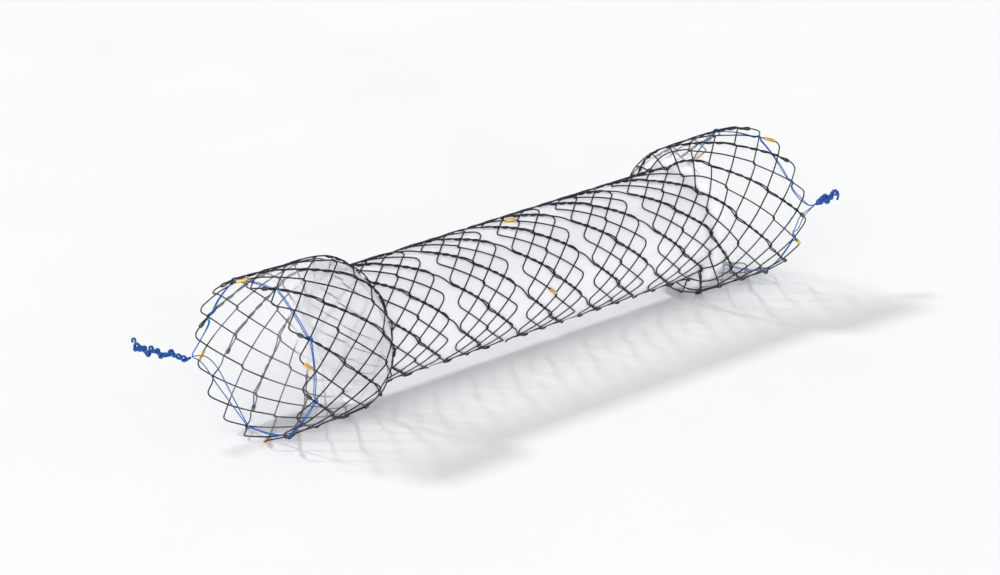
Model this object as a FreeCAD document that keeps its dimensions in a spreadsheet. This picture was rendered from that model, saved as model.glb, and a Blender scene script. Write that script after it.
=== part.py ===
import FreeCAD, Part
import Sketcher
import math
import os

# Covered esophageal stent. A straight body carries a wider cuff at each end. Sixteen
# zigzag wire rings hang in one another, eight link wires run through them as helices,
# and a silicone lining closes the wall. The axis lies along X, and the origin is the
# middle of the lumen.

os.makedirs("parts", exist_ok=True)
doc = FreeCAD.newDocument("EsophagealStent")
Vector = FreeCAD.Vector

# The weave in whole numbers: rows of crossings count along the axis from the body's
# left end, and columns count round it, two to a crown
CROWNS = 16
COLUMNS = 2 * CROWNS
RING_ROWS = 3
BODY_ROWS = 34
SHOULDER_ROWS = 3
CUFF_ROWS = 6
FIRST_ROW = -(SHOULDER_ROWS + CUFF_ROWS)
LAST_ROW = BODY_ROWS - FIRST_ROW
COLUMN_ANGLE = 360.0 / COLUMNS
# Columns that a straight half of a leg passes on either side of its own middle
HALF_LEG_COLUMNS = RING_ROWS / 4

# Driving dimensions in millimetres, with what each one is
SIZES = (
    ("BodyDiameter", 20.0, "middle of the mesh wall along the body"),
    ("RowPitch", 2.25, "axial distance of two rows of crossings in the body"),
    ("FlareDiameter", 26.3, "middle of the mesh wall in a cuff"),
    ("ShoulderLength", 3.75, "axial length of the rounded step up to a cuff"),
    ("FlareRowPitch", 3.0, "axial distance of two rows of crossings in a cuff"),
    ("FlareTaper", 0.04, "how much the radius of a cuff grows from row to row"),
    ("TipTuck", 0.45, "how far the end crowns lean inwards"),
    ("WireThickness", 0.25, "diameter of the wire"),
    ("CrossingClearance", 0.06, "radial gap where one wire passes over another"),
    ("StepLift", 0.07, "further lift of the hooked wires at both ends of the step"),
    ("HookOverlap", 0.44, "axial distance of two bends that hang in one another"),
    ("HookBend", 0.3, "corner taken off a hooked bend"),
    ("CrownBend", 0.5, "corner taken off a free bend"),
    ("LinkClearance", 0.09, "gap between a link wire and the ring wire beside it"),
    ("LinkEndGap", 0.15, "gap between the end of a link wire and its sleeve"),
    ("LinkJog", 1.0, "length over which a link wire changes sides at a hook"),
    ("LiningGap", 0.05, "gap between the mesh and the lining"),
    ("LiningWall", 0.3, "wall of the lining"),
    ("LiningSetback", 4.2, "distance from the crown tips to the rim of the lining"),
    ("BandClearance", 0.03, "gap between a wire and the band round it"),
    ("MarkerLength", 1.9, "length of a gold marker band"),
    ("MarkerWall", 0.07, "thinnest wall of a marker band"),
    ("SleeveLength", 1.1, "length of a crimp sleeve"),
    ("SleeveWall", 0.1, "thinnest wall of a crimp sleeve"),
    ("ThreadThickness", 0.3, "width of the doubled retrieval thread"),
    ("ThreadGap", 0.04, "gap between the thread and the mesh"),
    ("TailThickness", 2.1, "width of the knotted tail of a thread"),
)
sheet = doc.addObject("Spreadsheet::Sheet", "Sizes")
for line, (alias, value, meaning) in enumerate(SIZES, start=1):
    sheet.set(f"A{line}", alias)
    sheet.set(f"B{line}", str(value))
    sheet.set(f"C{line}", meaning)
    sheet.setAlias(f"B{line}", alias)
DERIVED = (
    ("SectionRadius", "=WireThickness * sqrt(pi / (3 * sqrt(3)))", "corner of a wire's section"),
    ("MeshLevel", "=(1.5 * SectionRadius + CrossingClearance) / 2", "lift of an upper wire"),
    ("LegSag", f"=BodyDiameter / 2 * (1 - cos({HALF_LEG_COLUMNS * COLUMN_ANGLE}))",
     "how far a straight leg cuts the round"),
    ("LiningInset", "=MeshLevel + SectionRadius / 2 + LegSag + LiningGap", "mesh to lining"),
    ("BodyHalf", f"={BODY_ROWS / 2} * RowPitch", "middle of the stent to the end of the body"),
    ("CuffStart", "=BodyHalf + ShoulderLength", "middle of the stent to a cuff"),
    ("TipEnd", f"=CuffStart + {CUFF_ROWS} * FlareRowPitch", "middle of the stent to the crown tips"),
    ("StepRise", "=(FlareDiameter - BodyDiameter) / 2", "height of the step"),
)
for line, (alias, formula, meaning) in enumerate(DERIVED, start=len(SIZES) + 1):
    sheet.set(f"A{line}", alias)
    sheet.set(f"B{line}", formula)
    sheet.set(f"C{line}", meaning)
    sheet.setAlias(f"B{line}", alias)
    doc.recompute()


def size(alias):
    return float(sheet.get(alias))


# A gap between two columns is straight below, so the mesh stands on both
FIRST_COLUMN_ANGLE = -1.5 * COLUMN_ANGLE
# Part of a row, at the foot of the step, where the mesh leans halfway between both walls
FOOT_ROWS = 0.3
LINK_SPACING = 4
LINK_LINES = range(LINK_SPACING - 1, COLUMNS, LINK_SPACING)
# Gold markers sit halfway between two link wires, at every second one
MARKER_LINES = [line - LINK_SPACING // 2 for line in LINK_LINES[::2]]
# Rows where each ring starts. A gap of one row separates the five bands of the body
BAND_STARTS = (0, 7, 14, 21, 28)
RING_STARTS = (
    [FIRST_ROW, FIRST_ROW + RING_ROWS, FIRST_ROW + 2 * RING_ROWS]
    + [start + step for start in BAND_STARTS for step in (0, RING_ROWS)]
    + [BODY_ROWS, BODY_ROWS + RING_ROWS, BODY_ROWS + 2 * RING_ROWS]
)

body_radius = size("BodyDiameter") / 2
cuff_radius = size("FlareDiameter") / 2
body_half = size("BodyHalf")
shoulder = size("ShoulderLength")
cuff_start = size("CuffStart")

# The wire's section is a triangle as large as its round section, one flat side inwards
section_radius = size("SectionRadius")
section_side = section_radius * math.sqrt(3)
level = size("MeshLevel")
link_offset = section_side + size("LinkClearance")


def meridian(row):
    """Axial place, radius and outward normal (axial, radial) of the mesh at a row."""
    middle = BODY_ROWS / 2
    side = 1 if row > middle else -1
    beyond = abs(row - middle) - middle
    if beyond < 0:
        return (row - middle) * size("RowPitch"), body_radius, (0.0, 1.0)
    if beyond <= SHOULDER_ROWS:
        turn = math.radians(90 * beyond / SHOULDER_ROWS)
        rise = cuff_radius - body_radius
        x = side * (body_half + shoulder * (1 - math.cos(turn)))
        normal = Vector(-side * math.cos(turn) / shoulder, math.sin(turn) / rise, 0)
        normal.normalize()
        if beyond < FOOT_ROWS:
            normal = Vector(-side, 1, 0).normalize()
        return x, body_radius + rise * math.sin(turn), (normal.x, normal.y)
    along = beyond - SHOULDER_ROWS
    x = side * (cuff_start + along * size("FlareRowPitch"))
    radius = cuff_radius + size("FlareTaper") * along
    radius -= size("TipTuck") * max(0.0, along - CUFF_ROWS + 1)
    return x, radius, (0.0, 1.0)


def rows_for(row, direction, length):
    """How many rows a length along the mesh is, from a row towards one side."""
    step = 0.05
    x0, r0, _ = meridian(row)
    x1, r1, _ = meridian(row + direction * step)
    return length * step / math.hypot(x1 - x0, r1 - r0)


def surface(row, column, lift=0.0):
    """Point and unit normal of the mesh surface, lifted along that normal."""
    x, radius, (along, out) = meridian(row)
    turn = math.radians(FIRST_COLUMN_ANGLE + COLUMN_ANGLE * column)
    down = Vector(0, -math.cos(turn), -math.sin(turn))
    normal = Vector(along, out * down.y, out * down.z)
    return Vector(x, radius * down.y, radius * down.z) + normal * lift, normal


def section(before, point, after, normal, corners, radius, spin=0.0):
    """Corners of a wire's section in the plane that halves its bend at a point."""
    tangents = [(b - a).normalize() for a, b in ((before, point), (point, after)) if b != a]
    middle = (tangents[0] + tangents[-1]).normalize()
    out = (normal - middle * normal.dot(middle)).normalize()
    side = middle.cross(out)
    stretch = 1 / middle.dot(tangents[0])
    angles = [spin + 2 * math.pi * k / corners for k in range(corners)]
    return [point + out * (radius * math.cos(a)) + side * (radius * stretch * math.sin(a))
            for a in angles]


def faceted_wire(path, closed, corners=3, radius=None, spin=0.0):
    """Solid of a wire along (point, normal) pairs, with a polygon as its section."""
    count = len(path)
    radii = radius if isinstance(radius, list) else [radius or section_radius] * count
    rings = []
    for k, (point, normal) in enumerate(path):
        before = path[k - 1][0] if closed or k else point
        after = path[(k + 1) % count][0] if closed or k < count - 1 else point
        rings.append(section(before, point, after, normal, corners, radii[k], spin))
    faces = []
    for k in range(count if closed else count - 1):
        near, far = rings[k], rings[(k + 1) % count]
        for c in range(corners):
            d = (c + 1) % corners
            faces.append((near[c], near[d], far[d]))
            faces.append((near[c], far[d], far[c]))
    if not closed:
        for c in range(1, corners - 1):
            faces.append((rings[0][0], rings[0][c + 1], rings[0][c]))
            faces.append((rings[-1][0], rings[-1][c], rings[-1][c + 1]))
    shell = Part.Shell([Part.Face(Part.makePolygon([a, b, c, a])) for a, b, c in faces])
    shell.sewShape()
    solid = Part.Solid(shell)
    if solid.Volume < 0:
        solid.reverse()
    return solid


def is_hooked(row):
    """Whether two rings share a row, so that their bends hang in one another."""
    return row in RING_STARTS and row - RING_ROWS in RING_STARTS


def hook_row(row):
    """Where two rings cross: at their shared row, or just up the step at its foot."""
    if row == 0:
        return row - rows_for(row, -1, size("HookOverlap") / 2)
    if row == BODY_ROWS:
        return row + rows_for(row, 1, size("HookOverlap") / 2)
    return row


def ring_ends(start):
    """Rows of a ring's two rows of bends: where its legs would meet, and its bend."""
    ends = []
    for row, direction in ((start, -1), (start + RING_ROWS, 1)):
        hooked = is_hooked(row)
        reach = size("HookOverlap") / 2 + size("HookBend") if hooked else 0.0
        cut = size("HookBend") if hooked else size("CrownBend")
        crossing = hook_row(row)
        apex = crossing + direction * rows_for(crossing, direction, reach)
        bend = apex - direction * rows_for(row, direction, cut)
        ends.append((apex, bend))
    return ends


def leg_column(start, row):
    """Columns that a leg of a ring has turned through at a row, from its first bend."""
    (first, _), (last, _) = ring_ends(start)
    return RING_ROWS * (row - first) / (last - first)


def leg_end(start, bend, column, turn):
    """Point where a leg meets its bend. A leg is straight from its middle, through the
    crossing with the next ring where the two hang together, to that point."""
    (first, _), (last, _) = ring_ends(start)
    middle = (first + last) / 2
    row = start if bend < middle else start + RING_ROWS
    if not is_hooked(row):
        return surface(bend, column + turn * leg_column(start, bend), turn * level)
    on_step = row <= 0 and row >= -SHOULDER_ROWS or 0 <= row - BODY_ROWS <= SHOULDER_ROWS
    lift = level + (size("StepLift") if on_step else 0.0)
    row = hook_row(row)
    crossing, normal = surface(row, column + turn * leg_column(start, row), turn * lift)
    halfway = surface(middle, column + turn * RING_ROWS / 2, turn * level)[0]
    return halfway + (crossing - halfway) * ((bend - middle) / (row - middle)), normal


def zigzag_ring(start):
    """One closed wire that zigzags round the stent until it meets its own start."""
    (first, first_bend), (last, last_bend) = ring_ends(start)
    middle = (first + last) / 2
    half = RING_ROWS / 2
    path = []
    for crown in range(CROWNS):
        column = (start + 1) % 2 + 2 * RING_ROWS * crown
        back = column + 2 * RING_ROWS
        path.append(leg_end(start, first_bend, column, -1))
        path.append(leg_end(start, first_bend, column, 1))
        path.append(surface(middle, column + half, level))
        path.append(leg_end(start, last_bend, column, 1))
        path.append(leg_end(start, last_bend, back, -1))
        path.append(surface(middle, back - half, -level))
    return faceted_wire(path, closed=True)


def beside_leg(start, line, row, away, lift=0.0):
    """Point beside a rising leg of a ring, at a distance from it in the mesh surface."""
    (first, _), (last, _) = ring_ends(start)
    column = start + line + leg_column(start, row)
    x0, r0, _ = meridian(first)
    x1, r1, _ = meridian(last)
    rise = math.hypot(x1 - x0, r1 - r0)
    radius = meridian(row)[1]
    around = radius * math.radians(COLUMN_ANGLE) * RING_ROWS
    leg = math.hypot(rise, around)
    along_turn = away * rise / leg
    new_row = row - rows_for(row, -1, away * around / leg)
    turned = along_turn / (radius * math.radians(COLUMN_ANGLE))
    return surface(new_row, column + turned, level + lift)


def leg_rows(length):
    """Rows that a length along a leg in a cuff covers."""
    around = cuff_radius * math.radians(COLUMN_ANGLE)
    return length / math.hypot(size("FlareRowPitch"), around)


# Rows from the crown tips, or from the start of the middle ring, to each kind of band
SLEEVE_ROW = 0.5
LATE_SLEEVE_ROW = 2.34
MARKER_ROW = 0.45
MIDDLE_MARKER_ROW = 2.58
# Two link wires start further in at the left end than the others
LATE_LINES = (LINK_LINES[4], LINK_LINES[5])
sleeve_half_rows = leg_rows(size("SleeveLength") / 2 + size("LinkEndGap"))


def sleeve_row(end, line):
    """Rows from the crown tips of one end to the sleeve of a link wire."""
    return LATE_SLEEVE_ROW if end == "left" and line in LATE_LINES else SLEEVE_ROW


def link_wire(line):
    """Helical wire beside the rising legs of one line, from sleeve to sleeve."""
    path = []
    for start in RING_STARTS:
        (first, first_bend), (last, last_bend) = ring_ends(start)
        opening = first_bend
        if start == FIRST_ROW:
            opening = FIRST_ROW + sleeve_row("left", line) + sleeve_half_rows
        # Beside the lifted legs of the right step the link wire keeps further away
        stepped = BODY_ROWS - RING_ROWS <= start <= BODY_ROWS + SHOULDER_ROWS
        away = link_offset + (2 * size("StepLift") if stepped else 0.0)
        path.append(beside_leg(start, line, opening, away))
        if opening < (first + last) / 2:
            path.append(beside_leg(start, line, (first + last) / 2, link_offset))
        if start + RING_ROWS == LAST_ROW:
            closing = LAST_ROW - sleeve_row("right", line) - sleeve_half_rows
            path.append(beside_leg(start, line, closing, link_offset))
        elif is_hooked(start + RING_ROWS):
            row = last_bend - rows_for(last_bend, -1, size("LinkJog") + size("HookOverlap"))
            path.append(beside_leg(start, line, row, away))
        else:
            outside = link_offset + 2 * size("CrownBend")
            path.append(beside_leg(start, line, last_bend, outside, size("LegSag")))
    return faceted_wire(path, closed=False)


def feature(name, shape):
    """Document object of a finished shape."""
    item = doc.addObject("Part::Feature", name)
    item.Shape = shape
    item.Label = name
    return item


def point_on_leg(start, line, row):
    """Point on a rising leg as it is built, with the two ends of that straight half."""
    (first, first_bend), (last, last_bend) = ring_ends(start)
    middle = (first + last) / 2
    bend = first_bend if row < middle else last_bend
    halfway = surface(middle, start + line + RING_ROWS / 2, level)[0]
    tip = leg_end(start, bend, start + line, 1)[0]
    return halfway + (tip - halfway) * ((row - middle) / (bend - middle)), (halfway, tip)


def band(name, start, line, row, length, wall):
    """Six-sided band round a rising leg, with a hole that follows the wire's section."""
    centre, (middle, bend) = point_on_leg(start, line, row)
    axis = (bend - middle).normalize()
    normal = surface(row, start + line + leg_column(start, row))[1]
    out = (normal - axis * normal.dot(axis)).normalize()
    turn = FreeCAD.Rotation(out, axis.cross(out), axis, "ZXY")
    hole_radius = "Sizes.SectionRadius + 2 * Sizes.BandClearance"
    outer = doc.addObject("Part::Prism", name + "_outside")
    outer.Polygon = 6
    outer.setExpression("Circumradius", f"({hole_radius} + Sizes.{wall}) / cos(30)")
    outer.setExpression("Height", f"Sizes.{length}")
    outer.Placement = FreeCAD.Placement(centre - axis * (size(length) / 2),
                                        turn * FreeCAD.Rotation(Vector(0, 0, 1), 30))
    hole = doc.addObject("Part::Prism", name + "_hole")
    hole.Polygon = 3
    hole.setExpression("Circumradius", hole_radius)
    hole.setExpression("Height", f"2 * Sizes.{length}")
    hole.Placement = FreeCAD.Placement(centre - axis * size(length), turn)
    item = doc.addObject("Part::Cut", name)
    item.Base = outer
    item.Tool = hole
    item.Label = name
    return item


def add_lining():
    """Silicone lining inside the mesh, turned about the axis from its wall's outline."""
    body = doc.addObject("PartDesign::Body", "lining_body")
    body.Label = "lining"
    planes = {item.Role: item for item in body.Origin.OriginFeatures}
    sketch = body.newObject("Sketcher::SketchObject", "lining_outline")
    sketch.AttachmentSupport = [(planes["XY_Plane"], "")]
    sketch.MapMode = "FlatFace"
    slant = "hypot(Sizes.ShoulderLength; Sizes.StepRise)"
    middle_x = "Sizes.BodyHalf + Sizes.ShoulderLength * (1 - cos(45))"
    middle_r = "Sizes.BodyDiameter / 2 + Sizes.StepRise * sin(45)"
    step_inset = "(Sizes.LiningInset + Sizes.LiningGap)"
    outside = [
        ("Sizes.BodyHalf + Sizes.LiningInset", "Sizes.BodyDiameter / 2 - Sizes.LiningInset"),
        (f"{middle_x} + {step_inset} * Sizes.StepRise / {slant}",
         f"{middle_r} - {step_inset} * Sizes.ShoulderLength / {slant}"),
        ("Sizes.CuffStart + Sizes.LiningInset / 2", "Sizes.FlareDiameter / 2 - Sizes.LiningInset"),
        ("Sizes.TipEnd - Sizes.LiningSetback", "Sizes.FlareDiameter / 2 - Sizes.LiningInset"),
    ]
    inside = [
        (f"{outside[0][0]} + Sizes.LiningWall", f"{outside[0][1]} - Sizes.LiningWall"),
        (f"{outside[1][0]} + Sizes.LiningWall * Sizes.StepRise / {slant}",
         f"{outside[1][1]} - Sizes.LiningWall * Sizes.ShoulderLength / {slant}"),
        (f"{outside[2][0]} + Sizes.LiningWall / 2", f"{outside[2][1]} - Sizes.LiningWall"),
        (outside[3][0], f"{outside[3][1]} - Sizes.LiningWall"),
    ]
    right = outside + inside[::-1]
    corners = [(x, r, 1) for x, r in right] + [(x, r, -1) for x, r in right[::-1]]
    start_places = [(side * (10 + k), 10 + k) for k, (_, _, side) in enumerate(corners)]
    count = len(corners)
    for k in range(count):
        a, b = start_places[k], start_places[(k + 1) % count]
        sketch.addGeometry(Part.LineSegment(Vector(*a, 0), Vector(*b, 0)), False)
    for k in range(count):
        sketch.addConstraint(Sketcher.Constraint("Coincident", k, 2, (k + 1) % count, 1))
    for k, (x, r, side) in enumerate(corners):
        place = sketch.addConstraint(Sketcher.Constraint("DistanceX", -1, 1, k, 1, start_places[k][0]))
        sketch.setExpression(f"Constraints[{place}]", f"{side} * ({x})")
        height = sketch.addConstraint(Sketcher.Constraint("DistanceY", -1, 1, k, 1, start_places[k][1]))
        sketch.setExpression(f"Constraints[{height}]", r)
    turned = body.newObject("PartDesign::Revolution", "lining_wall")
    turned.Profile = sketch
    turned.ReferenceAxis = (sketch, ["H_Axis"])
    turned.Angle = 360
    doc.recompute()
    return body


def thread_ring(name, row, pulled, gather):
    """Doubled thread inside the mesh, laced through the first crossings of an end ring."""
    depth = (level + section_radius / 2 + size("LegSag") + size("TipTuck") / 2
             + size("ThreadGap") + size("ThreadThickness") / 2)
    first = row % 2 + 1
    columns = [c for c in range(first, first + COLUMNS, 2) if c % COLUMNS not in pulled]
    path = [surface(row, column, -depth) for column in columns]
    spot = sum(1 for c in columns if c < min(pulled))
    outward = Vector(math.copysign(1, gather.x), 0, 0)
    path.insert(spot, (gather, outward))
    radius = size("ThreadThickness") / 2
    return feature(name, faceted_wire(path, True, corners=4, radius=radius, spin=math.pi / 4))


def knotted_tail(name, start, end):
    """Closed outer form of the short chain of knots in which a thread ends."""
    widths = (0.4, 1.0, 0.8, 1.0, 0.7)
    half = size("TailThickness") / 2
    steps = len(widths) - 1
    path = [(start + (end - start) * (k / steps), Vector(0, 0, 1)) for k in range(steps + 1)]
    radii = [width * half for width in widths]
    return feature(name, faceted_wire(path, False, corners=6, radius=radii))


lining = add_lining()
nodes = [lining]
for number, start in enumerate(RING_STARTS, start=1):
    nodes.append(feature(f"ring_{number:02d}", zigzag_ring(start)))
for number, line in enumerate(LINK_LINES, start=1):
    nodes.append(feature(f"link_wire_{number}", link_wire(line)))
for end, start, tip, step in (("left", FIRST_ROW, FIRST_ROW, 1),
                              ("right", LAST_ROW - RING_ROWS, LAST_ROW, -1)):
    for number, line in enumerate(LINK_LINES, start=1):
        name = f"sleeve_{end}_{number}"
        row = tip + step * sleeve_row(end, line)
        nodes.append(band(name, start, line, row, "SleeveLength", "SleeveWall"))
middle_start = BAND_STARTS[len(BAND_STARTS) // 2]
MARKED = (("left", FIRST_ROW, FIRST_ROW + MARKER_ROW),
          ("middle", middle_start, middle_start + MIDDLE_MARKER_ROW),
          ("right", LAST_ROW - RING_ROWS, LAST_ROW - MARKER_ROW))
for place, start, row in MARKED:
    for number, line in enumerate(MARKER_LINES, start=1):
        name = f"marker_{place}_{number}"
        nodes.append(band(name, start, line, row, "MarkerLength", "MarkerWall"))


def before_mouth(side, reach, inset, column):
    """Point a reach beyond the crown tips of one end, by its inset from the cuff's radius."""
    turn = math.radians(FIRST_COLUMN_ANGLE + COLUMN_ANGLE * column)
    radius = cuff_radius - inset
    return Vector(side * (size("TipEnd") + reach), -radius * math.cos(turn),
                  -radius * math.sin(turn))


# Side, crossings that the thread skips, where it is gathered and drawn out of its ring,
# and the two ends of its tail, each by reach, inset and column
THREADS = (
    ("left", -1, FIRST_ROW + 1, (15, 17), (2.3, 1.255, 16.86), (2.6, 1.174, 16.925),
     (11.4, -2.45, 18.32)),
    ("right", 1, LAST_ROW - 1, (1,), (0.6, 0.984, 0.659), (0.9, 0.878, 0.645),
     (7.4, -1.09, 0.383)),
)
for end, side, row, skipped, gather, tail_start, tail_end in THREADS:
    gathered = before_mouth(side, *gather)
    nodes.append(thread_ring(f"thread_{end}", row, skipped, gathered))
    ends = before_mouth(side, *tail_start), before_mouth(side, *tail_end)
    nodes.append(knotted_tail(f"tail_{end}", *ends))

doc.recompute()
for item in doc.Objects:
    if "Invalid" in item.State or "Error" in item.State:
        raise RuntimeError(f"{item.Label} failed: {item.State}")
for node in nodes:
    if node.Shape.isNull() or not node.Shape.isValid():
        raise RuntimeError(f"{node.Label} has no valid shape")
for node in nodes:
    node.Shape.exportStep(os.path.join("parts", node.Label + ".step"))
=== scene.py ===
import math
import random

import bpy
from mathutils import Matrix, Vector, noise


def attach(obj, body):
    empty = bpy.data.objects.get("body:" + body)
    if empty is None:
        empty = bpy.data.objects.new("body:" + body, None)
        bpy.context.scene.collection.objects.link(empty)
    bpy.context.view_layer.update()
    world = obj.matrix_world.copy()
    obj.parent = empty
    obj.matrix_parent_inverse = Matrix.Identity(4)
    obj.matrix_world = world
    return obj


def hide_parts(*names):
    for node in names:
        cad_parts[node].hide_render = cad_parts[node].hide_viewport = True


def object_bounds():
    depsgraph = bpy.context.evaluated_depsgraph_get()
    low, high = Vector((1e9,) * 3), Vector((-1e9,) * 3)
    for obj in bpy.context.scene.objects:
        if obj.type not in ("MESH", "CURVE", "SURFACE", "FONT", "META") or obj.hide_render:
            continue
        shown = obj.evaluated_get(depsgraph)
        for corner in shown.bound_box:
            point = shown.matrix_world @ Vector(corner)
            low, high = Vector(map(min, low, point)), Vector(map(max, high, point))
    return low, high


# Looks of the covered esophageal stent: fine round wires, twisted link wires, crimp sleeves,
# gold markers, laced threads with crocheted tails, and the clear and milky silicone film.

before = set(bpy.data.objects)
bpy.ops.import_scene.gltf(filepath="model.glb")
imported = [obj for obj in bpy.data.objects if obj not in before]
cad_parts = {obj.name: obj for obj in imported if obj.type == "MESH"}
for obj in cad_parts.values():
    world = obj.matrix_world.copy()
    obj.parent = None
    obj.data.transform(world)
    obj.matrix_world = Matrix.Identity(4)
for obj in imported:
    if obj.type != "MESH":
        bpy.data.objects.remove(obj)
cad_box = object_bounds()
random.seed(5)

MM = 0.001

# The weave, in the same whole numbers, degrees and millimetres as the part's source
CROWNS = 16
COLUMNS = 32
RING_ROWS = 3
BODY_ROWS = 34
SHOULDER_ROWS = 3
CUFF_ROWS = 6
FIRST_ROW = -9
LAST_ROW = 43
COLUMN_ANGLE = 11.25
FIRST_COLUMN_ANGLE = -16.875
BODY_RADIUS = 10.0
ROW_PITCH = 2.25
CUFF_RADIUS = 13.15
SHOULDER = 3.75
CUFF_PITCH = 3.0
CUFF_TAPER = 0.04
TIP_TUCK = 0.45
RING_STARTS = (-9, -6, -3, 0, 3, 7, 10, 14, 17, 21, 24, 28, 31, 34, 37, 40)
LAST_START = RING_STARTS[-1]
LINK_LINES = range(3, COLUMNS, 4)
MARKER_LINES = range(1, COLUMNS, 8)
LATE_LINES = (19, 23)         # link wires that begin late in the left cuff
LATE_START = 1.84             # rows by which they are late

# Wires, in millimetres
WIRE = 0.25
LEVEL = 0.13                  # a crossing wire's height over or under the mesh surface
PAIR = 0.137                  # from the middle of a twisted pair to either of its wires
WIRE_ORDER = 3                # smoothness of a wire's curve, and its steps between points
WIRE_FINENESS = 3
TURN_STEPS = 8                # points on one turn of a pair
HOOK_SHIFT = 0.22             # the body's end rows give way to the shoulders by this much
HOOK_REACH = 0.36             # how far a hooked bend's legs aim past their row
HOOK_BEND = (0.3, 0.8)        # where on a leg, from its apex, a hooked bend is drawn
FREE_REACH = 0.38             # the same two for bends that hang in nothing
FREE_BEND = (0.75, 1.9)
BAND_SEGMENTS = 16
HOLE = 0.13                   # radius of the hole through sleeves and markers
SLEEVE_ROW = 0.5              # rows from a stent end to its sleeves
SLEEVE_LIFT = 0.05
MARKER_ROW = 0.45             # rows from a stent end to its markers
MIDDLE_START = 14             # ring that carries the middle markers, and their row
MIDDLE_MARKER_ROW = 16.58

# Threads, in millimetres
STRAND = 0.18
STRAND_SHIFT = 0.05           # rows that each strand of a pair stands off its row
THREAD_SAG = -0.62            # height of the laced thread between its knots
TAIL_THREAD = 0.38
STITCH_STEPS = 8              # points on one stitch of a tail
STITCH_TURNS = 1.15

# Silicone film, in millimetres
FILM_LIFT = -0.17
FILM_WALL = 0.06
FILM_SEGMENTS = 128
FILM_END_ROWS = [41.2, 41.6]
FOOT_CORNER = (0.3, -0.25)    # the film's inner corner at the foot of a shoulder
WRINKLE_PLACE = 41.5          # where the shoulders' wrinkles are deepest, and their spread
WRINKLE_SPREAD = 3.2
LEFT_CRINKLE, RIGHT_CRINKLE = 0.3, 0.12
CLEAR_FROM, CLEAR_TO = 38.6, 40.6
MILKY, CLEAR = 0.85, 0.11     # how much of the view the film takes in the body and the cuffs


# ---------------------------------------------------------------- the mesh surface

def outline(row):
    """Axial place, radius and outward direction (axial, radial) of the mesh at a row."""
    middle = BODY_ROWS / 2
    side = 1 if row > middle else -1
    beyond = abs(row - middle) - middle
    half = middle * ROW_PITCH
    if beyond < 0:
        return (row - middle) * ROW_PITCH, BODY_RADIUS, (0.0, 1.0)
    if beyond <= SHOULDER_ROWS:
        turn = math.radians(90 * beyond / SHOULDER_ROWS)
        rise = CUFF_RADIUS - BODY_RADIUS
        normal = Vector((-side * math.cos(turn) / SHOULDER, math.sin(turn) / rise)).normalized()
        if beyond < 0.3:
            normal = Vector((-side, 1.0)).normalized()
        x = side * (half + SHOULDER * (1 - math.cos(turn)))
        return x, BODY_RADIUS + rise * math.sin(turn), (normal.x, normal.y)
    along = beyond - SHOULDER_ROWS
    radius = CUFF_RADIUS + CUFF_TAPER * along - TIP_TUCK * max(0.0, along - CUFF_ROWS + 1)
    return side * (half + SHOULDER + along * CUFF_PITCH), radius, (0.0, 1.0)


def rows_in(row, way, length):
    """Rows that a length in millimetres covers from a row towards one side."""
    x0, r0, _ = outline(row)
    x1, r1, _ = outline(row + way * 0.05)
    return length * 0.05 / math.hypot(x1 - x0, r1 - r0)


def surface(row, column, lift=0.0):
    """Point on the mesh surface in millimetres, and the direction straight out of it."""
    x, radius, (along, out) = outline(row)
    turn = math.radians(FIRST_COLUMN_ANGLE + COLUMN_ANGLE * column)
    round_ = Vector((0.0, -math.cos(turn), -math.sin(turn)))
    normal = Vector((along, out * round_.y, out * round_.z))
    return Vector((x, radius * round_.y, radius * round_.z)) + normal * lift, normal


def hooked(row):
    return row in RING_STARTS and row - RING_ROWS in RING_STARTS


def apex_rows(start):
    """Rows where the legs of a ring would meet at its left and right bends."""
    rows = []
    for row, way in ((start, -1), (start + RING_ROWS, 1)):
        crossing = float(row)
        if row == 0:
            crossing = -rows_in(0, -1, HOOK_SHIFT)
        if row == BODY_ROWS:
            crossing = row + rows_in(row, 1, HOOK_SHIFT)
        reach = HOOK_REACH if hooked(row) else FREE_REACH
        rows.append(crossing + way * rows_in(crossing, way, reach))
    return rows


def leg_point(start, column, turn, t, aside=0.0, lift=0.0):
    """Point along a leg, from 0 at the left apex to 1 at the right one. It may lie aside
    in the mesh surface, towards the next column, or lifted out of it."""
    first, last = apex_rows(start)
    here, normal = surface(first + t * (last - first), column + turn * RING_ROWS * t)
    nudge = 0.01
    ahead, _ = surface(first + (t + nudge) * (last - first),
                       column + turn * RING_ROWS * (t + nudge))
    along = (ahead - here).normalized()
    return here + normal * lift + along.cross(normal) * aside


def leg_length(start):
    left = leg_point(start, 0, 1, 0.0)
    right = leg_point(start, 0, 1, 1.0)
    return (right - left).length


def twist_span(start):
    """Where on a leg the pair of wires begins and ends its turns, and one turn's share."""
    first, last = apex_rows(start)
    one = (start + 1 - first) / (last - first)
    two = (start + 2 - first) / (last - first)
    return one - (two - one) / 2, two + (two - one) / 2, two - one


def twist(start, t):
    """How far aside and up each wire of a pair lies: (ring aside, up), (link aside, up)."""
    begin, _, turn = twist_span(start)
    angle = 2 * math.pi * (t - begin) / turn
    middle = LEVEL * math.cos(angle) ** 2
    return ((-PAIR * math.cos(angle), middle - PAIR * math.sin(angle)),
            (PAIR * math.cos(angle), middle + PAIR * math.sin(angle)))


# ---------------------------------------------------------------- wires and threads

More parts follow.
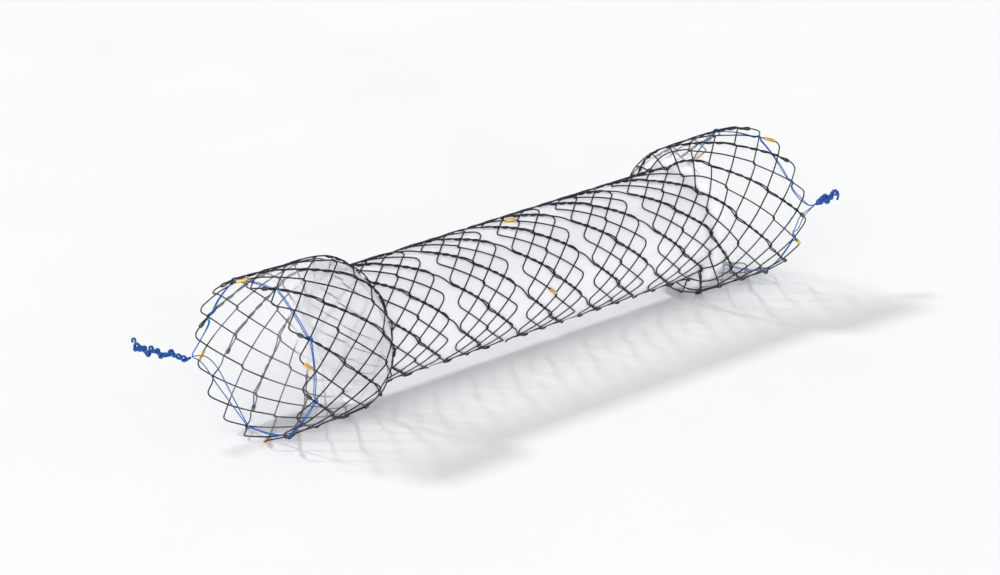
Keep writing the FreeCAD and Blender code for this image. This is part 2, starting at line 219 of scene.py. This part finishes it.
def round_wire(name, points, closed, thickness, sides=1):
    """Smooth round wire along points in millimetres, made a closed mesh."""
    bpy.ops.object.select_all(action="DESELECT")
    if closed:
        bpy.ops.curve.primitive_nurbs_circle_add()
    else:
        bpy.ops.curve.primitive_nurbs_path_add()
    wire = bpy.context.object
    wire.name = name
    curve = wire.data
    curve.splines.clear()
    spline = curve.splines.new("NURBS")
    spline.points.add(len(points) - 1)
    for spot, point in zip(spline.points, points):
        spot.co = (*(point * MM), 1.0)
    spline.use_cyclic_u = closed
    spline.use_endpoint_u = not closed
    spline.order_u = WIRE_ORDER
    spline.resolution_u = WIRE_FINENESS
    curve.dimensions = "3D"
    curve.resolution_u = WIRE_FINENESS
    curve.bevel_depth = thickness / 2 * MM
    curve.bevel_resolution = sides
    curve.use_fill_caps = True
    bpy.ops.object.convert(target="MESH")
    wire = bpy.context.object
    bpy.ops.object.transform_apply(location=True, rotation=True, scale=True)
    bpy.ops.object.mode_set(mode="EDIT")
    bpy.ops.mesh.select_all(action="SELECT")
    bpy.ops.mesh.remove_doubles(threshold=0.000001)
    bpy.ops.mesh.normals_make_consistent(inside=False)
    bpy.ops.object.mode_set(mode="OBJECT")
    bpy.ops.object.shade_smooth()
    return wire


def join(name, pieces):
    """One object out of several."""
    bpy.ops.object.select_all(action="DESELECT")
    for piece in pieces:
        piece.select_set(True)
    bpy.context.view_layer.objects.active = pieces[0]
    if len(pieces) > 1:
        bpy.ops.object.join()
    whole = bpy.context.object
    whole.name = name
    return whole


def ring_line(start):
    """Points of one zigzag ring: out along a rising leg and back along a falling one."""
    length = leg_length(start)
    near = HOOK_BEND if hooked(start) else FREE_BEND
    far = HOOK_BEND if hooked(start + RING_ROWS) else FREE_BEND
    begin, end, turn = twist_span(start)
    plain = ([near[0] / length, near[1] / length, 0.35, 0.5, 0.65]
             + [1 - far[1] / length, 1 - far[0] / length])
    points = []
    for crown in range(CROWNS):
        column = (start + 1) % 2 + 2 * RING_ROWS * crown
        if (column - start) % 4 == 3:
            points.append(leg_point(start, column, 1, near[0] / length, 0, LEVEL))
            steps = round(TURN_STEPS * (end - begin) / turn)
            for k in range(steps + 1):
                t = begin + (end - begin) * k / steps
                (aside, up), _ = twist(start, t)
                points.append(leg_point(start, column, 1, t, aside, up))
            low = LEVEL if hooked(start + RING_ROWS) else 0.0
            points.append(leg_point(start, column, 1, 1 - far[0] / length, 0, low))
        else:
            points += [leg_point(start, column, 1, t, 0, LEVEL) for t in plain]
        points += [leg_point(start, column + 2 * RING_ROWS, -1, t, 0, -LEVEL)
                   for t in reversed(plain)]
    return points


def link_line(line):
    """Points of one link wire, wound round the rising legs of its line from end to end."""
    points = []
    for start in RING_STARTS:
        length = leg_length(start)
        begin, end, turn = twist_span(start)
        if start == FIRST_ROW and line in LATE_LINES:
            begin += LATE_START * turn
        column = start + line

        def beside(distance, aside, up, from_left):
            t = distance / length if from_left else 1 - distance / length
            points.append(leg_point(start, column, 1, t, aside, up))

        if start != FIRST_ROW:
            if hooked(start):
                beside(0.45, 0.3, LEVEL + 0.02, True)
                beside(1.1, 0.27, LEVEL, True)
            else:
                beside(0.7, 0.25, LEVEL, True)
                beside(1.3, 0.22, LEVEL, True)
        steps = max(2, round(TURN_STEPS * (end - begin) / turn))
        for k in range(steps + 1):
            t = begin + (end - begin) * k / steps
            _, (aside, up) = twist(start, t)
            points.append(leg_point(start, column, 1, t, aside, up))
        if start + RING_ROWS == LAST_ROW:
            continue
        if hooked(start + RING_ROWS):
            beside(1.1, 0.4, LEVEL, False)
        else:
            beside(1.2, 0.28, LEVEL + 0.03, False)
            beside(0.6, 0.3, LEVEL + 0.04, False)
            beside(-1.1, 0.15, LEVEL - 0.03, False)
    return points


def lacing(name, row, knots, toward):
    """Doubled thread, wrapped round every second crossing of a row. Before the first of its
    knots it is drawn out of the mouth, through the given points of each strand."""
    wrap = ((-0.5, -0.42), (-0.2, -0.28), (-0.18, 0.12), (0.0, 0.4), (0.18, 0.12),
            (0.2, -0.28), (0.5, -0.42))
    strands = []
    for strand, shift in enumerate((-STRAND_SHIFT, STRAND_SHIFT)):
        points = [Vector(point) for point in toward[strand]]
        for knot in knots:
            for k, (over, lift) in enumerate(wrap):
                slip = shift + STRAND_SHIFT * (k - 3) / 3
                points.append(surface(row + slip, knot + over, lift)[0])
            if knot != knots[-1]:
                for over, spread in ((1.4, 0.08), (2.6, 0.08)):
                    bow = spread * (2 * strand - 1) * random.uniform(0.1, 1.3)
                    points.append(surface(row + bow, knot + over, THREAD_SAG)[0])
        strands.append(round_wire(f"{name}_strand", points, True, STRAND))
    return join(name, strands)


def crocheted_tail(name, start, end, stitches, hook):
    """Short crocheted chain of two strands. Each stitch is a loop (along, across, size) of
    either strand, and the hook's points (along, across) end the first strand."""
    axis = (end - start).normalized()
    side = axis.cross(Vector((0, 0, 1))).normalized()
    up = side.cross(axis)
    strands = []
    for strand in range(2):
        points = [start]
        for along, across, size in stitches:
            middle = start + axis * along + up * across
            lean = random.uniform(-0.5, 0.5) + 1.1 * strand
            across_loop = up * math.cos(0.4 * lean) + side * math.sin(0.4 * lean)
            along_loop = axis * math.cos(lean) + side * math.sin(lean)
            reach = size - TAIL_THREAD / 2
            turned = math.pi * (1.1 + 0.5 * strand)
            last = STITCH_STEPS - 1
            for k in range(STITCH_STEPS):
                angle = turned + 2 * math.pi * STITCH_TURNS * k / last
                depth = side * (0.16 * (k - last / 2) / (last / 2) * (1 - 2 * strand))
                points.append(middle + along_loop * (reach * math.cos(angle))
                              + across_loop * (reach * math.sin(angle)) + depth)
        if strand == 0:
            points += [start + axis * along + up * across for along, across in hook]
        strands.append(round_wire(f"{name}_strand", points, False, TAIL_THREAD, sides=2))
    return join(name, strands)


# ---------------------------------------------------------------- bands and sleeves

def turned_band(name, profile):
    """Band turned about Z from (place, radius) points, with a round hole, in millimetres."""
    bpy.ops.object.select_all(action="DESELECT")
    place, radius = profile[0]
    bpy.ops.mesh.primitive_circle_add(vertices=BAND_SEGMENTS, radius=radius * MM,
                                      location=(0, 0, place * MM))
    band = bpy.context.object
    band.name = name
    bpy.ops.object.transform_apply(location=True, rotation=True, scale=True)
    bpy.ops.object.mode_set(mode="EDIT")
    bpy.ops.mesh.select_all(action="SELECT")
    inner = [(profile[-1][0], HOLE), (profile[0][0], HOLE)]
    for (z0, r0), (z1, r1) in zip(profile + inner, profile[1:] + inner):
        bpy.ops.mesh.extrude_region_move(
            TRANSFORM_OT_translate={"value": (0, 0, (z1 - z0) * MM)})
        bpy.ops.transform.resize(value=(r1 / r0, r1 / r0, 1.0),
                                 center_override=(0.0, 0.0, z1 * MM))
        if (z1, r1) == inner[-1]:
            break
    bpy.ops.mesh.select_all(action="DESELECT")
    bpy.ops.mesh.select_non_manifold()
    bpy.ops.mesh.bridge_edge_loops()
    bpy.ops.mesh.select_all(action="SELECT")
    bpy.ops.mesh.normals_make_consistent(inside=False)
    bpy.ops.object.mode_set(mode="OBJECT")
    bpy.ops.object.shade_smooth_by_angle(angle=math.radians(50))
    return band


def copy_along(model, name, centre, axis, outward):
    """Copy of a band with its own mesh, its length along an axis."""
    copy = model.copy()
    copy.data = model.data.copy()
    copy.name = name
    bpy.context.scene.collection.objects.link(copy)
    out = (outward - axis * outward.dot(axis)).normalized()
    side = axis.cross(out)
    turn = Matrix((out, side, axis)).transposed().to_4x4()
    copy.data.transform(Matrix.Translation(centre * MM) @ turn)
    return copy


def on_leg(start, line, row, lift):
    """Centre, direction and outward normal at a row of a rising leg."""
    first, last = apex_rows(start)
    t = (row - first) / (last - first)
    column = start + line
    centre = leg_point(start, column, 1, t, 0, lift)
    ahead = leg_point(start, column, 1, t + 0.02, 0, lift)
    return centre, (ahead - centre).normalized(), surface(row, column + RING_ROWS * t)[1]


# ---------------------------------------------------------------- silicone film

def film():
    """The lining: a thin closed film just inside the mesh, wrinkled at the shoulders."""
    half_rows = ([BODY_ROWS / 2 + k for k in range(BODY_ROWS // 2)]
                 + [BODY_ROWS - 0.4, BODY_ROWS]
                 + [BODY_ROWS + 0.5 + 0.25 * k for k in range(11)]
                 + [BODY_ROWS + 3.5 + 0.5 * k for k in range(8)] + FILM_END_ROWS)
    half = []
    for row in half_rows:
        x, radius, (along, out) = outline(row)
        if row == BODY_ROWS:
            half.append((x + FOOT_CORNER[0], radius + FOOT_CORNER[1]))
        else:
            half.append((x + along * FILM_LIFT, radius + out * FILM_LIFT))
    stations = [(-x, radius) for x, radius in reversed(half[1:])] + half
    bpy.ops.object.select_all(action="DESELECT")
    x, radius = stations[0]
    bpy.ops.mesh.primitive_circle_add(vertices=FILM_SEGMENTS, radius=radius * MM,
                                      location=(x * MM, 0, 0), rotation=(0, math.pi / 2, 0))
    skin = bpy.context.object
    skin.name = "silicone_film"
    bpy.ops.object.transform_apply(location=True, rotation=True, scale=True)
    bpy.ops.object.mode_set(mode="EDIT")
    bpy.ops.mesh.select_all(action="SELECT")
    for (x0, r0), (x1, r1) in zip(stations, stations[1:]):
        bpy.ops.mesh.extrude_region_move(
            TRANSFORM_OT_translate={"value": ((x1 - x0) * MM, 0, 0)})
        bpy.ops.transform.resize(value=(1.0, r1 / r0, r1 / r0),
                                 center_override=(x1 * MM, 0.0, 0.0))
    bpy.ops.mesh.select_all(action="SELECT")
    bpy.ops.mesh.normals_make_consistent(inside=False)
    bpy.ops.mesh.subdivide(number_cuts=1)
    bpy.ops.object.mode_set(mode="OBJECT")
    for vertex in skin.data.vertices:
        place = vertex.co / MM
        angle = math.atan2(place.z, place.y)
        near = math.exp(-((abs(place.x) - WRINKLE_PLACE) / WRINKLE_SPREAD) ** 2)
        cell = noise.noise(Vector((place.x * 0.16, angle * 5.0, 3.0)))
        fold = noise.noise(Vector((place.x * 0.45 + 7, angle * 11.0, 8.0)))
        crinkle = noise.noise(Vector((place.x * 1.1, angle * 14.0, 2.0)))
        rough = LEFT_CRINKLE if place.x < 0 else RIGHT_CRINKLE
        dip = near * (0.25 + 0.3 * cell + 0.35 * abs(fold) + rough * abs(crinkle)) \
            + 0.06 * abs(fold)
        radius = math.hypot(place.y, place.z)
        share = 1 - max(0.0, dip) / radius
        vertex.co.y *= share
        vertex.co.z *= share
    wall = skin.modifiers.new("wall", "SOLIDIFY")
    wall.thickness = FILM_WALL * MM
    wall.offset = -1.0
    wall.use_rim = True
    bpy.ops.object.modifier_apply(modifier=wall.name)
    bpy.ops.object.shade_smooth()
    return skin


# ---------------------------------------------------------------- shader groups

def new_group(name, inputs, outputs):
    group = bpy.data.node_groups.new(name, "ShaderNodeTree")
    for label, kind, value in inputs:
        socket = group.interface.new_socket(label, in_out="INPUT", socket_type=kind)
        socket.default_value = value
    for label, kind in outputs:
        group.interface.new_socket(label, in_out="OUTPUT", socket_type=kind)
    return group


def grain_group():
    """Fine mottling of a surface: a colour between two, a roughness and a height."""
    group = new_group(
        "fine_grain",
        [("Colour", "NodeSocketColor", (0.5, 0.5, 0.5, 1)),
         ("Worn colour", "NodeSocketColor", (0.6, 0.6, 0.6, 1)),
         ("Scale", "NodeSocketFloat", 800.0),
         ("Amount", "NodeSocketFloat", 0.5),
         ("Low roughness", "NodeSocketFloat", 0.3),
         ("High roughness", "NodeSocketFloat", 0.5)],
        [("Colour", "NodeSocketColor"), ("Roughness", "NodeSocketFloat"),
         ("Height", "NodeSocketFloat")])
    nodes, links = group.nodes, group.links
    given = nodes.new("NodeGroupInput")
    result = nodes.new("NodeGroupOutput")
    place = nodes.new("ShaderNodeTexCoord")
    broad = nodes.new("ShaderNodeTexNoise")
    broad.inputs["Detail"].default_value = 4.0
    fine = nodes.new("ShaderNodeTexNoise")
    fine.inputs["Detail"].default_value = 6.0
    finer = nodes.new("ShaderNodeMath")
    finer.operation = "MULTIPLY"
    finer.inputs[1].default_value = 4.3
    spread = nodes.new("ShaderNodeMapRange")
    spread.inputs["From Min"].default_value = 0.35
    spread.inputs["From Max"].default_value = 0.68
    strength = nodes.new("ShaderNodeMath")
    strength.operation = "MULTIPLY"
    mix = nodes.new("ShaderNodeMix")
    mix.data_type = "RGBA"
    rough = nodes.new("ShaderNodeMapRange")
    rough.inputs["From Min"].default_value = 0.3
    rough.inputs["From Max"].default_value = 0.7
    links.new(place.outputs["Object"], broad.inputs["Vector"])
    links.new(place.outputs["Object"], fine.inputs["Vector"])
    links.new(given.outputs["Scale"], broad.inputs["Scale"])
    links.new(given.outputs["Scale"], finer.inputs[0])
    links.new(finer.outputs[0], fine.inputs["Scale"])
    links.new(broad.outputs["Fac"], spread.inputs["Value"])
    links.new(spread.outputs["Result"], strength.inputs[0])
    links.new(given.outputs["Amount"], strength.inputs[1])
    links.new(strength.outputs[0], mix.inputs["Factor"])
    links.new(given.outputs["Colour"], mix.inputs["A"])
    links.new(given.outputs["Worn colour"], mix.inputs["B"])
    links.new(fine.outputs["Fac"], rough.inputs["Value"])
    links.new(given.outputs["Low roughness"], rough.inputs["To Min"])
    links.new(given.outputs["High roughness"], rough.inputs["To Max"])
    links.new(mix.outputs["Result"], result.inputs["Colour"])
    links.new(rough.outputs["Result"], result.inputs["Roughness"])
    links.new(fine.outputs["Fac"], result.inputs["Height"])
    return group


def grained(name, group, colour, worn, scale, amount, low, high, bump, **fixed):
    """Material with the shared grain, and plain values on the shader's own sockets."""
    material = bpy.data.materials.new(name)
    material.use_nodes = True
    nodes, links = material.node_tree.nodes, material.node_tree.links
    shader = nodes["Principled BSDF"]
    grain = nodes.new("ShaderNodeGroup")
    grain.node_tree = group
    grain.inputs["Colour"].default_value = (*colour, 1)
    grain.inputs["Worn colour"].default_value = (*worn, 1)
    grain.inputs["Scale"].default_value = scale
    grain.inputs["Amount"].default_value = amount
    grain.inputs["Low roughness"].default_value = low
    grain.inputs["High roughness"].default_value = high
    relief = nodes.new("ShaderNodeBump")
    relief.inputs["Strength"].default_value = 0.5
    relief.inputs["Distance"].default_value = bump * MM
    links.new(grain.outputs["Colour"], shader.inputs["Base Color"])
    links.new(grain.outputs["Roughness"], shader.inputs["Roughness"])
    links.new(grain.outputs["Height"], relief.inputs["Height"])
    links.new(relief.outputs["Normal"], shader.inputs["Normal"])
    for label, value in fixed.items():
        shader.inputs[label.replace("_", " ")].default_value = value
    return material


def film_material(group):
    """Silicone film: milky along the body, nearly clear in the cuffs. Light passes it on
    its way to other surfaces, least where it meets the film at a slant."""
    material = grained("silicone_film", group, (0.965, 0.965, 1.0), (0.9, 0.905, 0.985), 90.0,
                       0.6, 0.12, 0.3, 0.03, Metallic=0.0, IOR=1.41,
                       Subsurface_Weight=0.5, Subsurface_Scale=0.7 * MM)
    nodes, links = material.node_tree.nodes, material.node_tree.links
    shader = nodes["Principled BSDF"]
    shader.inputs["Subsurface Radius"].default_value = (1.0, 1.0, 1.0)
    place = nodes.new("ShaderNodeTexCoord")
    axes = nodes.new("ShaderNodeSeparateXYZ")
    far = nodes.new("ShaderNodeMath")
    far.operation = "ABSOLUTE"
    clear = nodes.new("ShaderNodeMapRange")
    clear.interpolation_type = "SMOOTHSTEP"
    clear.inputs["From Min"].default_value = CLEAR_FROM * MM
    clear.inputs["From Max"].default_value = CLEAR_TO * MM
    clear.inputs["To Min"].default_value = MILKY
    clear.inputs["To Max"].default_value = CLEAR
    links.new(place.outputs["Object"], axes.inputs[0])
    links.new(axes.outputs["X"], far.inputs[0])
    rays = nodes.new("ShaderNodeLightPath")
    soft_rays = nodes.new("ShaderNodeMath")
    soft_rays.operation = "MAXIMUM"
    slant = nodes.new("ShaderNodeLayerWeight")
    slant.inputs["Blend"].default_value = 0.5
    passing = nodes.new("ShaderNodeMapRange")
    passing.inputs["To Min"].default_value = 0.01
    passing.inputs["To Max"].default_value = 0.85
    alpha = nodes.new("ShaderNodeMix")
    links.new(far.outputs[0], clear.inputs["Value"])
    links.new(rays.outputs["Is Shadow Ray"], soft_rays.inputs[0])
    links.new(rays.outputs["Is Diffuse Ray"], soft_rays.inputs[1])
    links.new(slant.outputs["Facing"], passing.inputs["Value"])
    links.new(soft_rays.outputs[0], alpha.inputs["Factor"])
    links.new(clear.outputs["Result"], alpha.inputs["A"])
    links.new(passing.outputs["Result"], alpha.inputs["B"])
    links.new(alpha.outputs["Result"], shader.inputs["Alpha"])
    return material


# ---------------------------------------------------------------- build the pieces

grain = grain_group()
dark_wire = grained("dark_oxide_wire", grain, (0.010, 0.009, 0.021), (0.024, 0.022, 0.045),
                    900.0, 0.7, 0.35, 0.6, 0.01, Metallic=0.1, Specular_IOR_Level=0.3)
crimp_metal = grained("crimped_sleeve", grain, (0.045, 0.047, 0.05), (0.16, 0.16, 0.17),
                      1500.0, 0.8, 0.3, 0.5, 0.02, Metallic=0.8)
gold = grained("satin_gold", grain, (0.60, 0.35, 0.04), (0.88, 0.62, 0.17), 1400.0,
               0.9, 0.28, 0.45, 0.02, Metallic=0.8)
blue_thread = grained("braided_thread", grain, (0.004, 0.08, 0.37), (0.02, 0.19, 0.58),
                      2500.0, 0.9, 0.55, 0.75, 0.05, Metallic=0.0,
                      Specular_IOR_Level=0.2)
tail_thread = grained("crocheted_thread", grain, (0.0, 0.01, 0.15), (0.05, 0.2, 0.6),
                      3200.0, 1.0, 0.35, 0.6, 0.1, Metallic=0.0,
                      Specular_IOR_Level=0.15)
silicone = film_material(grain)


def finish_piece(piece, material, slot, *nodes):
    """Give a piece its material and body, and hide the CAD nodes it stands for."""
    piece.data.materials.clear()
    piece.data.materials.append(material)
    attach(piece, "root")
    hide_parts(*nodes)
    return piece


for number, start in enumerate(RING_STARTS, start=1):
    ring = round_wire(f"zigzag_ring_{number:02d}", ring_line(start), True, WIRE)
    finish_piece(ring, dark_wire, "wire", f"ring_{number:02d}")

for number, line in enumerate(LINK_LINES, start=1):
    link = round_wire(f"twisted_link_{number}", link_line(line), False, WIRE)
    finish_piece(link, dark_wire, "wire", f"link_wire_{number}")

sleeve = turned_band("crimp_sleeve", [(-0.55, 0.2), (-0.5, 0.27), (-0.3, 0.33), (0.0, 0.35),
                                      (0.3, 0.33), (0.5, 0.27), (0.55, 0.2)])
marker = turned_band("marker_band", [(-0.95, 0.22), (-0.9, 0.28), (-0.8, 0.3), (0.0, 0.295),
                                     (0.8, 0.3), (0.9, 0.28), (0.95, 0.22)])
for end, start, row in (("left", FIRST_ROW, FIRST_ROW + SLEEVE_ROW),
                        ("right", LAST_START, LAST_ROW - SLEEVE_ROW)):
    for number, line in enumerate(LINK_LINES, start=1):
        late = LATE_START if end == "left" and line in LATE_LINES else 0.0
        piece = copy_along(sleeve, f"crimped_{end}_{number}",
                           *on_leg(start, line, row + late, SLEEVE_LIFT))
        finish_piece(piece, crimp_metal, "sleeve", f"sleeve_{end}_{number}")
for spot, start, row in (("left", FIRST_ROW, FIRST_ROW + MARKER_ROW),
                         ("middle", MIDDLE_START, MIDDLE_MARKER_ROW),
                         ("right", LAST_START, LAST_ROW - MARKER_ROW)):
    for number, line in enumerate(MARKER_LINES, start=1):
        piece = copy_along(marker, f"gold_{spot}_{number}", *on_leg(start, line, row, LEVEL))
        finish_piece(piece, gold, "gold", f"marker_{spot}_{number}")
for model in (sleeve, marker):
    bpy.data.objects.remove(model)

# Where the laced threads leave the mesh and gather into the tails, a row of points a strand
left_laces = (((-57.8, 8.9, -8.0), (-58.4, 9.8, -6.5), (-59.2, 10.9, -4.2), (-60.0, 11.4, -2.9),
               (-60.9, 11.5, -2.1), (-62.0, 11.7, -1.55), (-60.7, 11.95, -0.5),
               (-59.6, 12.15, 0.4)),
              ((-57.8, 8.0, -6.25), (-58.4, 8.8, -4.1), (-59.2, 9.7, -2.4), (-60.0, 10.4, -1.5),
               (-60.9, 11.4, -1.5), (-62.0, 11.7, -1.5), (-60.8, 11.85, -0.4),
               (-59.7, 12.0, 0.6)))
right_laces = (((59.0, -11.9, 2.8), (60.0, -11.9, 2.0), (61.9, -12.1, 0.7), (63.0, -12.6, 1.1),
                (62.0, -12.0, 0.3), (60.2, -12.4, 0.2), (58.2, -12.8, -0.1), (57.0, -12.9, -2.2)),
               ((59.2, -12.0, 3.1), (60.2, -12.0, 2.2), (61.7, -12.2, 0.8), (63.0, -12.6, 1.15),
                (61.8, -12.1, 0.2), (60.4, -12.3, -0.4), (59.3, -12.5, -1.0), (58.0, -12.8, -2.6)))
finish_piece(lacing("laced_thread_left", FIRST_ROW + 1, range(19, 44, 4), left_laces),
             blue_thread, "thread", "thread_left")
finish_piece(lacing("laced_thread_right", LAST_ROW - 1, range(35, 64, 4), right_laces),
             blue_thread, "thread", "thread_right")

# The tails' stitches (along, across, size) and hooks (along, across)
left_stitches = ((1.1, -0.5, 0.62), (2.1, -0.35, 0.56), (3.0, -0.3, 0.45), (3.6, -0.05, 0.68),
                 (4.4, -0.6, 0.45), (5.1, -0.9, 0.62), (5.9, -0.35, 0.56), (6.6, -0.5, 0.4),
                 (7.1, -0.2, 0.56), (7.3, -1.2, 0.5), (8.2, -0.5, 0.62), (9.0, -0.6, 0.62),
                 (9.6, -0.4, 0.68), (9.7, -0.9, 0.45))
left_hook = ((10.0, 0.0), (10.2, 0.55), (10.6, 0.85), (10.9, 0.4), (10.5, 0.1))
right_stitches = ((0.45, 0.0, 0.4), (0.9, 0.15, 0.75), (1.35, 0.4, 0.7), (1.75, 0.1, 0.6),
                  (2.1, 0.7, 0.62), (2.4, -0.4, 0.55), (2.8, 0.3, 0.5), (3.2, 0.1, 0.6),
                  (3.5, 0.45, 0.45), (3.65, 0.85, 0.34), (4.0, 1.05, 0.34), (4.4, 0.98, 0.34),
                  (4.68, 0.62, 0.34), (4.75, 0.15, 0.34))
right_hook = ((3.5, 0.7), (3.7, 1.05), (4.2, 1.15), (4.7, 0.75), (4.9, 0.1), (4.7, -0.6),
              (4.4, -0.85))
finish_piece(crocheted_tail("crocheted_tail_left", Vector((-62.0, 11.65, -1.6)),
                            Vector((-71.2, 15.3, 2.4)), left_stitches, left_hook),
             tail_thread, "thread", "tail_left")
finish_piece(crocheted_tail("crocheted_tail_right", Vector((62.75, -12.6, 1.1)),
                            Vector((67.0, -13.8, 2.0)), right_stitches, right_hook),
             tail_thread, "thread", "tail_right")
finish_piece(film(), silicone, "silicone", "lining")

# ---------------------------------------------------------------- floor, light and camera

floor_height = cad_box[0].z
bpy.ops.object.select_all(action="DESELECT")
bpy.ops.mesh.primitive_plane_add(size=4.0, location=(0, 0, floor_height))
floor = bpy.context.object
floor.name = "white_table"
bpy.ops.object.transform_apply(location=True, rotation=True, scale=True)
table_finish = grained("white_table", grain, (0.895, 0.895, 0.895), (0.885, 0.885, 0.888), 6.0,
                       0.5, 0.55, 0.7, 0.0, Metallic=0.0)
floor.data.materials.append(table_finish)

WORLD_LIGHT = 0.56
KEY_LIGHT, KEY_ANGLE, KEY_FROM = 1.7, 8, (-0.35, 1.1, 1.0)
FILL_LIGHT, FILL_ANGLE, FILL_FROM = 1.6, 60, (-0.75, -0.8, 0.5)

world = bpy.data.worlds.new("studio")
bpy.context.scene.world = world
world.use_nodes = True
world.node_tree.nodes["Background"].inputs["Color"].default_value = (0.98, 0.985, 1, 1)
world.node_tree.nodes["Background"].inputs["Strength"].default_value = WORLD_LIGHT

for name, energy, angle, place in (("key_light", KEY_LIGHT, KEY_ANGLE, KEY_FROM),
                                   ("soft_fill", FILL_LIGHT, FILL_ANGLE, FILL_FROM)):
    bpy.ops.object.light_add(type="SUN")
    lamp = bpy.context.object
    lamp.name = name
    lamp.data.energy = energy
    lamp.data.angle = math.radians(angle)
    lamp.rotation_euler = Vector(place).to_track_quat("Z", "Y").to_euler()

VIEW_AZIMUTH = -44.77
VIEW_HEIGHT = 19.3
VIEW_DISTANCE = 704.24
VIEW_LENS = 149.68
VIEW_SHIFT = (-0.0143, -0.0119)
azimuth, height = math.radians(VIEW_AZIMUTH), math.radians(VIEW_HEIGHT)
back = Vector((math.sin(azimuth) * math.cos(height), -math.cos(azimuth) * math.cos(height),
               math.sin(height)))
bpy.ops.object.camera_add(location=back * VIEW_DISTANCE * MM)
camera = bpy.context.object
camera.name = "studio_camera"
camera.rotation_euler = back.to_track_quat("Z", "Y").to_euler()
camera.data.sensor_width = 36.0
camera.data.lens = VIEW_LENS
camera.data.shift_x, camera.data.shift_y = VIEW_SHIFT
camera.data.clip_start = 0.01
camera.data.clip_end = 20.0
bpy.context.scene.camera = camera

bpy.context.scene.view_settings.view_transform = "Standard"
